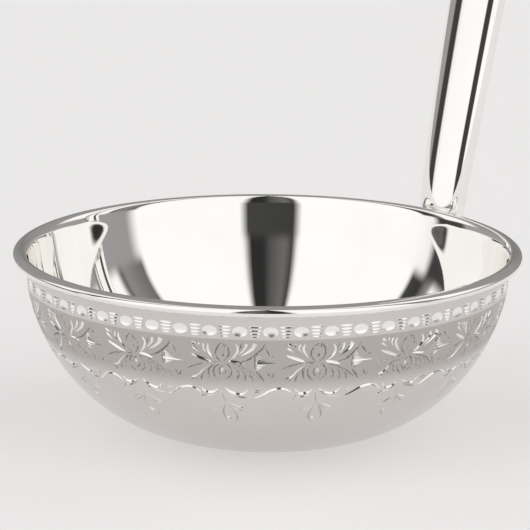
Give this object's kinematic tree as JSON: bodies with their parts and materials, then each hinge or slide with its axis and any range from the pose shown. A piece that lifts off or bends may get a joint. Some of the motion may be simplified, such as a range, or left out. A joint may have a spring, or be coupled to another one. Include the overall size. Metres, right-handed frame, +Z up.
{
  "type": "serving ladle",
  "caption": "Round silver serving ladle: an engraved bowl with a rounded wired lip and a long hollow oval handle.",
  "frame": {"origin": "centre of the small flat under the bowl", "axes": "+Z up the bowl's axis, +X from the bowl's axis to the handle"},
  "size_m": [0.1659, 0.095, 0.227],
  "materials": {
    "satin_silver": "engraved silver, satin outside and polished inside",
    "polished_silver": "mirror-polished silver"
  },
  "bodies": {
    "root": {"bowl": "satin_silver", "rim_wire": "polished_silver", "handle_foot": "polished_silver", "handle_front_shell": "polished_silver", "handle_back_shell": "polished_silver", "handle_end_cap": "polished_silver"}
  },
  "joints": []
}
